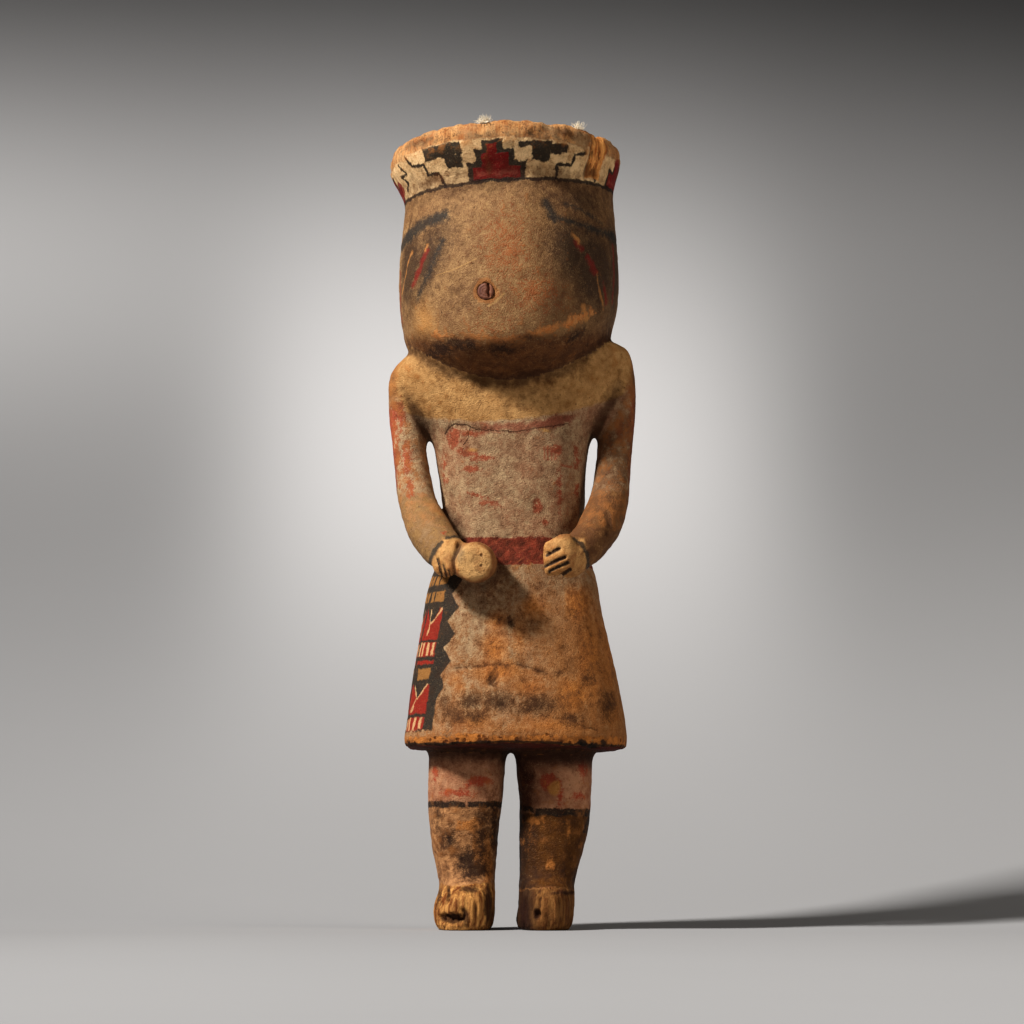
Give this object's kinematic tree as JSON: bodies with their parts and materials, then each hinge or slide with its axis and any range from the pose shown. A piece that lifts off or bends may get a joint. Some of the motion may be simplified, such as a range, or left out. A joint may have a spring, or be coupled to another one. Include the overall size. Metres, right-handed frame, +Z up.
{
  "type": "kachina doll",
  "caption": "Carved and painted wooden doll that stands on its own feet, with a barrel head under a flared headband, bent arms held at the waist and a flared kilt.",
  "frame": {"origin": "on the floor, under the middle of the doll's box", "axes": "+Z up through the head, -Y the way the face looks, +X towards the doll's left hand"},
  "size_m": [0.0982, 0.091, 0.3145],
  "materials": {
    "painted_root": "matt mineral paint over a thin white ground on cottonwood root, rubbed, sooted and worn to bare wood on the edges, hands, hem and feet",
    "peg_wood": "dark end grain, broken flush with the face",
    "down": "matted white feather down"
  },
  "bodies": {
    "root": {"doll_body": "painted_root", "snout_stub": "peg_wood", "down_tuft_left": "down", "down_tuft_right": "down"}
  },
  "joints": []
}
